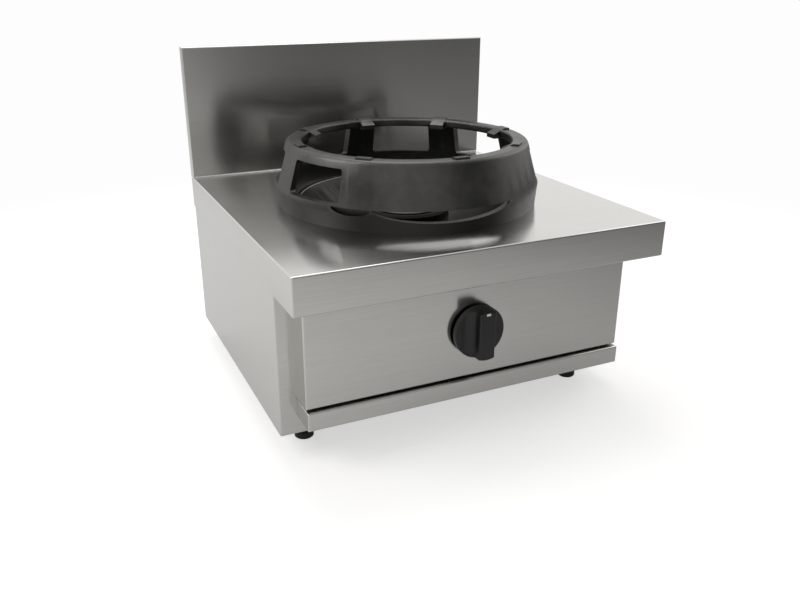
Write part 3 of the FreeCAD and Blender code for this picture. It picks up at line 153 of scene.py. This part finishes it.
def worked_copy(node, material, corner=32, edge=0.0, edge_material=None):
    """The solid's faces joined into one shell, smooth but for its corners, with its edges eased."""
    merge_distance, sliver_length = 2e-6, 1e-6
    flat_angle, corner_angle = math.radians(0.5), math.radians(corner)
    mesh = frame["nodes"][node].data.copy()
    mesh.materials.clear()
    mesh.materials.append(material)
    piece = bpy.data.objects.new(node + "_finished", mesh)
    bpy.context.scene.collection.objects.link(piece)
    shell = bmesh.new()
    shell.from_mesh(mesh)
    bmesh.ops.remove_doubles(shell, verts=shell.verts, dist=merge_distance)
    bmesh.ops.dissolve_degenerate(shell, edges=shell.edges, dist=sliver_length)
    if edge:
        bmesh.ops.dissolve_limit(shell, angle_limit=flat_angle, verts=shell.verts, edges=shell.edges)
    for face in shell.faces:
        face.smooth = True
        face.material_index = 0
    for border in shell.edges:
        border.smooth = len(border.link_faces) == 2 and border.calc_face_angle(0) < corner_angle
    shell.to_mesh(mesh)
    shell.free()
    if mesh.has_custom_normals:
        mesh.attributes.remove(mesh.attributes["custom_normal"])
    if edge:
        mesh.materials.append(edge_material)
        eased = piece.modifiers.new("eased", "BEVEL")
        eased.width = edge
        eased.segments = 2
        eased.limit_method = "ANGLE"
        eased.angle_limit = corner_angle
        eased.harden_normals = True
        eased.material = 1
    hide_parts(node)
    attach(piece, frame["nodes"][node]["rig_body"])
    return piece


# Folds and cut edges take a paler, less shiny finish on their eased edges: a painted highlight that draws
# thin bright lines along them.
casing_steel = brushed_stainless("stainless_brushed_casing", "#d6d4d0", "#cecdc9", 0.2)
edge_painted_highlight = clouded_finish("stainless_edge_painted_highlight", 260.0, 3.0, "#e4e2de", "#f3f2ef",
                              metallic=0.45, roughness=0.36, wear=0.15)
for node in ("worktop", "splashback", "drip_tray_front"):
    piece = worked_copy(node, casing_steel, corner=28, edge=0.0007, edge_material=edge_painted_highlight)
for node in ("left_side_panel", "right_side_panel", "control_panel"):
    worked_copy(node, casing_steel)

# Inner sheet: base, back, rails, runners, brackets and the tray's pan, stainless as it comes
# from the rolling mill. It keeps the same grain, but is a darker, duller grey.


def finish_node(node, material):
    """Give a solid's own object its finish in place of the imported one."""
    mesh = frame["nodes"][node].data
    mesh.materials.clear()
    mesh.materials.append(material)


mill_steel = brushed_stainless("stainless_mill_finish", "#bab9b6", "#adacaa", 0.42)
for node in ("base_panel", "back_panel", "lower_front_rail", "upper_front_rail",
             "worktop_stiffener_left", "worktop_stiffener_right", "tray_runner_left", "tray_runner_right",
             "burner_rail_front", "burner_rail_rear", "pilot_plate", "injector_bracket", "tap_plate",
             "drip_tray"):
    finish_node(node, mill_steel)

# Spot welds: pressed buttons 5 mm wide and 0.2 mm proud. They run down the back panel's
# side edges, 40 mm apart, and under the sides' foot returns, where these carry the base
# sheet, 46 mm apart.


def row_group(name, shape):
    """Geometry Nodes that repeat one small shape along a line, each copy a little different in size."""
    group = bpy.data.node_groups.new(name, "GeometryNodeTree")
    for label, kind in (("Start", "NodeSocketVector"), ("Step", "NodeSocketVector"),
                        ("Count", "NodeSocketInt"), ("Turn", "NodeSocketVector"),
                        ("Smallest", "NodeSocketFloat"), ("Seed", "NodeSocketInt"),
                        ("Material", "NodeSocketMaterial")):
        group.interface.new_socket(label, in_out="INPUT", socket_type=kind)
    group.interface.new_socket("Geometry", in_out="OUTPUT", socket_type="NodeSocketGeometry")
    asked = add(group, "NodeGroupInput").outputs
    line = add(group, "GeometryNodeMeshLine", {"mode": "OFFSET"},
               {"Count": asked["Count"], "Start Location": asked["Start"], "Offset": asked["Step"]})
    size = add(group, "FunctionNodeRandomValue", {"data_type": "FLOAT"},
               {2: asked["Smallest"], 3: 1.0, "Seed": asked["Seed"]})
    copies = add(group, "GeometryNodeInstanceOnPoints",
                 inputs={"Points": line.outputs[0], "Instance": shape(group), "Rotation": asked["Turn"],
                         "Scale": size.outputs[1]})
    real = add(group, "GeometryNodeRealizeInstances", inputs={0: copies.outputs[0]})
    finished = add(group, "GeometryNodeSetMaterial",
                   inputs={"Geometry": real.outputs[0], "Material": asked["Material"]})
    add(group, "NodeGroupOutput", inputs={0: finished.outputs[0]})
    return group


def lay_row(name, group, body, values):
    """Make a row from a group's named inputs, as a plain mesh that rides on a body."""
    holder = bpy.data.objects.new(name + "_source", bpy.data.meshes.new(name + "_source"))
    bpy.context.scene.collection.objects.link(holder)
    row = holder.modifiers.new("row", "NODES")
    row.node_group = group
    for socket in group.interface.items_tree:
        if socket.in_out == "INPUT":
            row[socket.identifier] = values[socket.name]
    evaluated = holder.evaluated_get(bpy.context.evaluated_depsgraph_get())
    piece = bpy.data.objects.new(name, bpy.data.meshes.new_from_object(evaluated))
    bpy.context.scene.collection.objects.link(piece)
    bpy.data.objects.remove(holder)
    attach(piece, body)


def weld_button(group):
    """A shallow button with sloped sides."""
    foot_radius, crown_radius, rise = 0.0025, 0.0019, 0.0002
    button = add(group, "GeometryNodeMeshCone", inputs={
        "Vertices": 20, "Radius Top": crown_radius, "Radius Bottom": foot_radius, "Depth": rise})
    return button.outputs["Mesh"]


weld_group = row_group("weld_row", weld_button)
casing_body = frame["nodes"]["worktop"]["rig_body"]
facing_back, facing_down = (-math.pi / 2, 0, 0), (math.pi, 0, 0)
for row_name, out, y, z, step, count, turn in (
        ("welds_back_", 0.288, 0.2645, 0.062, (0, 0, 0.04), 7, facing_back),
        ("welds_foot_", 0.290, -0.185, 0.038, (0, 0.046, 0), 11, facing_down)):
    for side_name, side in (("left", -1), ("right", 1)):
        lay_row(row_name + side_name, weld_group, casing_body,
                {"Start": (out * side, y, z), "Step": step, "Count": count, "Turn": turn, "Smallest": 0.88,
                 "Seed": 7, "Material": mill_steel})

# Bowl: spun from 1.2 mm stainless, hung by its rolled rim in the worktop's hole. Its colour
# is painted dark, a painted shade for the inside of the ring, browned a little by heat and
# darker towards the burner; its eased rim takes the paler edge finish, a painted highlight.
# Its turned rings are drawn 1.4 mm apart, as coarse as they need to be to show.
rings_per_metre = 700.0
ring_depth = 0.00005
hot_radius, cool_radius = 0.085, 0.15
bowl_steel_painted_shade, tree, output = new_material("stainless_spun_bowl_painted_shade")
place = add(tree, "ShaderNodeTexCoord").outputs["Object"]
apart = add(tree, "ShaderNodeSeparateXYZ", inputs={0: place})
flat = add(tree, "ShaderNodeCombineXYZ", inputs={0: apart.outputs[0], 1: apart.outputs[1]})
radius = add(tree, "ShaderNodeVectorMath", {"operation": "LENGTH"}, {0: flat.outputs[0]})
turned = add(tree, "ShaderNodeTexNoise", {"noise_dimensions": "1D"},
             {"W": radius.outputs["Value"], "Scale": rings_per_metre, "Detail": 2.0})
heat = add(tree, "ShaderNodeMapRange",
           inputs={0: radius.outputs["Value"], 1: hot_radius, 2: cool_radius, 3: 1.0, 4: 0.0})
# Painted shade: the bowl's greys are dark for the shade inside the ring, browner and darker towards the
# burner.
heat_tint_and_painted_shade = add(tree, "ShaderNodeMix", {"data_type": "RGBA"},
             {0: heat.outputs[0], 6: linear("#3a3938"), 7: linear("#25211d")}).outputs[2]
colour = add(tree, "ShaderNodeMix", {"data_type": "RGBA"},
             {0: turned.outputs[0], 6: heat_tint_and_painted_shade, 7: linear("#474645")}).outputs[2]
bump = add(tree, "ShaderNodeBump",
           inputs={"Strength": 0.4, "Distance": ring_depth, "Height": turned.outputs[0]})
spun = add(tree, "ShaderNodeBsdfPrincipled",
           inputs={"Base Color": colour, "Metallic": 1.0, "Roughness": 0.36, "Normal": bump.outputs[0]})
tree.links.new(spun.outputs[0], output.inputs[0])
worked_copy("burner_bowl", bowl_steel_painted_shade, edge=0.0005, edge_material=edge_painted_highlight)

# Wok ring and burner: grey iron, sand-cast and left dry, matte and finely pitted. The colour
# is painted darker at the ring's foot and below it, a painted shade under the ring's overhang
# and inside it, and the ring's eased edges are painted lighter, a painted highlight along
# them. The sand's grain is drawn 1 mm wide, as coarse as it needs to be to show.
grains_per_metre, patches_per_metre = 900.0, 22.0
pit_depth = 0.0002
foot_top, skin_start = 0.344, 0.353  # heights between which the ring's dark foot ends
cast_skin, tree, output = new_material("cast_iron_sand_cast")
place = add(tree, "ShaderNodeTexCoord").outputs["Object"]
sand = add(tree, "ShaderNodeTexNoise",
           inputs={"Vector": place, "Scale": grains_per_metre, "Detail": 4.0, "Roughness": 0.7})
patches = add(tree, "ShaderNodeTexNoise",
              inputs={"Vector": place, "Scale": patches_per_metre, "Detail": 5.0, "Roughness": 0.6})
patch_level = add(tree, "ShaderNodeMapRange", inputs={0: patches.outputs[0], 1: 0.35, 2: 0.7})
apart = add(tree, "ShaderNodeSeparateXYZ", inputs={0: place})
# Painted shade: the colour turns darker below the ring's foot and on the burner parts inside it.
above_painted_shade = add(tree, "ShaderNodeMapRange", inputs={0: apart.outputs[2], 1: foot_top, 2: skin_start})
dry = add(tree, "ShaderNodeMix", {"data_type": "RGBA"},
          {0: patch_level.outputs[0], 6: linear("#4a4948"), 7: linear("#5a5957")}).outputs[2]
colour = add(tree, "ShaderNodeMix", {"data_type": "RGBA"},
             {0: above_painted_shade.outputs[0], 6: linear("#3b3a39"), 7: dry}).outputs[2]
bump = add(tree, "ShaderNodeBump",
           inputs={"Strength": 0.55, "Distance": pit_depth, "Height": sand.outputs[0]})
rough = add(tree, "ShaderNodeMath", {"operation": "MULTIPLY_ADD"},
            {0: patch_level.outputs[0], 1: 0.08, 2: 0.36})
skin = add(tree, "ShaderNodeBsdfPrincipled", inputs={
    "Base Color": colour, "Metallic": 0.95, "Roughness": rough.outputs[0], "Normal": bump.outputs[0]})
tree.links.new(skin.outputs[0], output.inputs[0])
# Painted highlight: the ring's eased edges are a lighter iron, so they show as bright lines.
iron_edge_painted_highlight = clouded_finish("cast_iron_edge_painted_highlight", 150.0, 4.0, "#5d5c5a", "#a3a19e",
                             metallic=0.9, roughness=0.4)
worked_copy("wok_ring", cast_skin, edge=0.0009, edge_material=iron_edge_painted_highlight)
for node in ("burner_body", "burner_cap"):
    worked_copy(node, cast_skin)

# Brass parts: injector, pilot burner, tap, knob bush and pipe fittings, turned from bar or
# forged. Heat and handling have dulled them in clouds.
turned_brass = clouded_finish("brass_turned_dull", 60.0, 4.0, "#8f6b35", "#c79f58",
                              metallic=1.0, roughness=0.22, wear=0.25)
for node in ("injector", "injector_holder", "pilot_burner", "tap_body", "tap_cover", "tap_plug", "tap_nut",
             "knob_bush", "supply_pipe_nut", "inlet_fitting", "inlet_locknut"):
    worked_copy(node, turned_brass)

# Inlet thread: half-inch pipe thread on the brass tail, 14 turns to the inch, 1.81 mm
# apart, drawn as closed rounded rings that catch the light as a thread does.
tail_radius, ridge_radius = 0.01048, 0.0004
thread_start, thread_pitch, thread_turns = (0.210, 0.2735, 0.172), 0.00181, 9


def thread_ridge(group):
    """One turn of the thread, a rounded ridge round the tail."""
    turn_line = add(group, "GeometryNodeCurvePrimitiveCircle",
                    inputs={"Resolution": 72, "Radius": tail_radius})
    ridge = add(group, "GeometryNodeCurvePrimitiveCircle", inputs={"Resolution": 10, "Radius": ridge_radius})
    return add(group, "GeometryNodeCurveToMesh",
               inputs={"Curve": turn_line.outputs[0], "Profile Curve": ridge.outputs[0]}).outputs[0]


lay_row("inlet_thread", row_group("thread_row", thread_ridge), casing_body,
        {"Start": thread_start, "Step": (0, thread_pitch, 0), "Count": thread_turns,
         "Turn": (math.pi / 2, 0, 0), "Smallest": 1.0, "Seed": 7, "Material": turned_brass})

# Burner crown: the same brass, painted nearly black as a painted shade for the dark inside
# of the ring, and clouded with brown. It is rough, with little shine left.
brass_painted_shade = clouded_finish("brass_crown_painted_shade", 45.0, 5.0, "#121110", "#241f1a",
                             metallic=0.8, roughness=0.55)
worked_copy("burner_crown", brass_painted_shade)

# Soft tubes: pilot tube, burner pipe and thermocouple lead, drawn copper, bent by hand.
# They are unpolished, with brown clouds where they have aged.
drawn_copper = clouded_finish("copper_drawn", 80.0, 3.0, "#7d4a32", "#b87351",
                              metallic=1.0, roughness=0.34)
for node in ("burner_pipe", "pilot_tube", "thermocouple"):
    worked_copy(node, drawn_copper)

# Small steel parts: supply pipe, screws, nuts, spindle, spring, shutter and foot stems,
# turned or drawn stainless, a little shinier than the mill's sheet.
turned_steel = brushed_stainless("stainless_turned", "#b9b8b5", "#a8a7a4", 0.28)
for node, slot in (("supply_pipe", "pipe_steel"), ("panel_screws", "screw_steel"),
                   ("bracket_screws", "screw_steel"), ("tap_cover_screws", "screw_steel"),
                   ("foot_nuts", "screw_steel"), ("tap_spindle", "screw_steel"),
                   ("tap_spring", "spring_steel"), ("air_shutter", "shutter_steel")):
    worked_copy(node, turned_steel)
foot_places = ("front_left", "front_right", "rear_left", "rear_right")
for foot_place in foot_places:
    worked_copy("foot_stud_" + foot_place, turned_steel)

# Foot pads: moulded rubber, pressed onto the studs. It is nearly black and matte, greyed
# unevenly by dust.
moulded_rubber = clouded_finish("rubber_moulded", 120.0, 4.0, "#0f0f0f", "#1c1c1b",
                                metallic=0.0, roughness=0.7)
for foot_place in foot_places:
    worked_copy("foot_pad_" + foot_place, moulded_rubber)

# Knob: moulded phenolic, satin black, with a soft highlight along its grip and a grain
# drawn 0.7 mm wide, as coarse as it needs to be to show. The mark on the grip's top is a
# moulded recess filled with white.
skin_grains_per_metre, hand_wear_per_metre = 1400.0, 40.0
skin_depth = 0.0001
moulded_black, tree, output = new_material("phenolic_moulded_black")
place = add(tree, "ShaderNodeTexCoord").outputs["Object"]
skin_grain = add(tree, "ShaderNodeTexNoise",
                 inputs={"Vector": place, "Scale": skin_grains_per_metre, "Detail": 2.0})
bump = add(tree, "ShaderNodeBump",
           inputs={"Strength": 0.25, "Distance": skin_depth, "Height": skin_grain.outputs[0]})
hand_wear = add(tree, "ShaderNodeTexNoise",
                inputs={"Vector": place, "Scale": hand_wear_per_metre, "Detail": 3.0})
rough = add(tree, "ShaderNodeMath", {"operation": "MULTIPLY_ADD"}, {0: hand_wear.outputs[0], 1: 0.14, 2: 0.3})
black = add(tree, "ShaderNodeBsdfPrincipled", inputs={
    "Base Color": linear("#161616"), "Roughness": rough.outputs[0], "Normal": bump.outputs[0]})
tree.links.new(black.outputs[0], output.inputs[0])
worked_copy("knob", moulded_black)
mark_filler, tree, output = new_material("paint_white_filled")
white = add(tree, "ShaderNodeBsdfPrincipled", inputs={"Base Color": linear("#e4e3df"), "Roughness": 0.5})
tree.links.new(white.outputs[0], output.inputs[0])
finish_node("knob_pointer", mark_filler)

# Studio: a pale paper floor that carries the shadow and runs out into a white background.
# Metal sees the paper bright on the left and dimmer towards the right.
paper_end, white_start = 0.75, 1.7  # distances from the object between which paper turns white
paper_glow, background_white = 0.55, 0.985
left_end, right_end = -0.8, 1.2
left_tone, right_tone = 1.06, 0.33
floor_reach = 9
pure_white = (1, 1, 1, 1)
floor_paper, tree, output = new_material("studio_paper_white")
seen = add(tree, "ShaderNodeLightPath")
spot = add(tree, "ShaderNodeNewGeometry").outputs["Position"]
apart = add(tree, "ShaderNodeVectorMath", {"operation": "LENGTH"}, {0: spot})
far_off = add(tree, "ShaderNodeMapRange", {"interpolation_type": "SMOOTHSTEP"},
              {0: apart.outputs["Value"], 1: paper_end, 2: white_start})
paper = add(tree, "ShaderNodeBsdfDiffuse", inputs={"Color": linear("#cfcecc")})
glow = add(tree, "ShaderNodeEmission", inputs={"Color": pure_white, "Strength": paper_glow})
near_paper = add(tree, "ShaderNodeAddShader", inputs={0: paper.outputs[0], 1: glow.outputs[0]})
white = add(tree, "ShaderNodeEmission", inputs={"Color": pure_white, "Strength": background_white})
camera_paper = add(tree, "ShaderNodeMixShader",
                   inputs={0: far_off.outputs[0], 1: near_paper.outputs[0], 2: white.outputs[0]})
sideways = add(tree, "ShaderNodeSeparateXYZ", inputs={0: spot})
metal_tone = add(tree, "ShaderNodeMapRange",
                 inputs={0: sideways.outputs[0], 1: left_end, 2: right_end, 3: left_tone, 4: right_tone})
glossy_glow = add(tree, "ShaderNodeMath", {"operation": "MULTIPLY"},
                  {0: metal_tone.outputs[0], 1: paper_glow})
glossy_paper = add(tree, "ShaderNodeBsdfDiffuse", inputs={"Color": metal_tone.outputs[0]})
metal_glow = add(tree, "ShaderNodeEmission",
                 inputs={"Color": pure_white, "Strength": glossy_glow.outputs[0]})
metal_paper = add(tree, "ShaderNodeMixShader",
                  inputs={0: 0.5, 1: glossy_paper.outputs[0], 2: metal_glow.outputs[0]})
other_paper = add(tree, "ShaderNodeMixShader",
                  inputs={0: seen.outputs["Is Glossy Ray"], 1: paper.outputs[0], 2: metal_paper.outputs[0]})
floor_look = add(tree, "ShaderNodeMixShader", inputs={
    0: seen.outputs["Is Camera Ray"], 1: other_paper.outputs[0], 2: camera_paper.outputs[0]})
tree.links.new(floor_look.outputs[0], output.inputs[0])
floor_mesh = bpy.data.meshes.new("studio_floor")
floor_mesh.from_pydata([(-floor_reach, -floor_reach, 0), (floor_reach, -floor_reach, 0),
                        (floor_reach, floor_reach, 0), (-floor_reach, floor_reach, 0)], [], [(0, 1, 2, 3)])
floor_mesh.materials.append(floor_paper)
floor = bpy.data.objects.new("studio_floor", floor_mesh)
bpy.context.scene.collection.objects.link(floor)

# Room: white to the camera and an even pale grey to matt surfaces. Metal sees it bright
# behind, above and on the right, and dark in front but for one pale wall at the left.
matt_light, room_base = 0.5, 0.08
world = bpy.data.worlds.new("studio")
world.use_nodes = True
world.node_tree.nodes.clear()
tree = world.node_tree
seen = add(tree, "ShaderNodeLightPath")
seen_metal = add(tree, "ShaderNodeMath", {"operation": "MAXIMUM"},
                 {0: seen.outputs["Is Glossy Ray"], 1: seen.outputs["Is Transmission Ray"]})
way = add(tree, "ShaderNodeTexCoord").outputs["Generated"]


def room_patch(direction, low, high, strength):
    """Strength seen towards a direction, fading in between two cosines."""
    turned = add(tree, "ShaderNodeVectorMath", {"operation": "DOT_PRODUCT"}, {0: way, 1: direction})
    return add(tree, "ShaderNodeMapRange", {"interpolation_type": "SMOOTHSTEP"},
               {0: turned.outputs["Value"], 1: low, 2: high, 3: 0.0, 4: strength}).outputs[0]


behind = room_patch((0, 1, 0), -0.25, 0.45, 0.92)
above = room_patch((0, 0, 1), 0.25, 0.85, 0.5)
front_wall = room_patch((-0.42, -0.86, 0.3), 0.7, 1.0, 0.65)
right_wall = room_patch((0.99, -0.1, 0.05), 0.8, 0.97, 0.75)
room_tone = room_base
for patch in (behind, above, front_wall, right_wall):
    room_tone = add(tree, "ShaderNodeMath", {"operation": "ADD"}, {0: patch, 1: room_tone}).outputs[0]
room_tone = add(tree, "ShaderNodeMath", {"operation": "MINIMUM"}, {0: room_tone, 1: 1.0}).outputs[0]
soft = add(tree, "ShaderNodeBackground", inputs={"Color": pure_white, "Strength": matt_light})
metal_view = add(tree, "ShaderNodeBackground", inputs={"Color": pure_white, "Strength": room_tone})
camera_view = add(tree, "ShaderNodeBackground", inputs={"Color": pure_white, "Strength": background_white})
first = add(tree, "ShaderNodeMixShader",
            inputs={0: seen_metal.outputs[0], 1: soft.outputs[0], 2: metal_view.outputs[0]})
second = add(tree, "ShaderNodeMixShader",
             inputs={0: seen.outputs["Is Camera Ray"], 1: first.outputs[0], 2: camera_view.outputs[0]})
add(tree, "ShaderNodeOutputWorld", inputs={0: second.outputs[0]})
bpy.context.scene.world = world

# Lamps: a strong soft box from the left, a weak one from the right and one from above and
# behind, so that the left side is bright and the shadow falls softly to the front right.


def soft_lamp(name, place, aim, power, width):
    """Place a square soft box that points at a place."""
    lamp = bpy.data.lights.new(name, "AREA")
    lamp.energy = power
    lamp.size = width
    holder = bpy.data.objects.new(name, lamp)
    holder.location = place
    holder.rotation_euler = (Vector(aim) - Vector(place)).to_track_quat("-Z", "Y").to_euler()
    bpy.context.scene.collection.objects.link(holder)


soft_lamp("key_left", (-2.3, 0.4, 2.1), (0, 0, 0.25), 34, 1.6)
soft_lamp("fill_right", (2.4, 0.2, 1.8), (0, 0, 0.25), 12, 1.8)
soft_lamp("top_back", (0.2, 1.0, 2.8), (0, 0, 0.3), 22, 1.6)

# Camera: solved from the photograph's straight edges, with the object's width at 600 mm.
# It stands in front, to the left, and looks down and to the right.
camera_place = (-0.5768, -1.2070, 0.6695)
heading, tilt, roll = math.radians(-25.1), math.radians(68.01), math.radians(0.16)
camera = bpy.data.cameras.new("camera")
camera.lens = 36.51
camera.sensor_width = 36
camera_holder = bpy.data.objects.new("camera", camera)
turn = Matrix.Rotation(heading, 4, "Z") @ Matrix.Rotation(tilt, 4, "X") @ Matrix.Rotation(roll, 4, "Z")
camera_holder.matrix_world = Matrix.Translation(camera_place) @ turn
bpy.context.scene.collection.objects.link(camera_holder)
bpy.context.scene.camera = camera_holder
bpy.context.scene.view_settings.view_transform = "Standard"
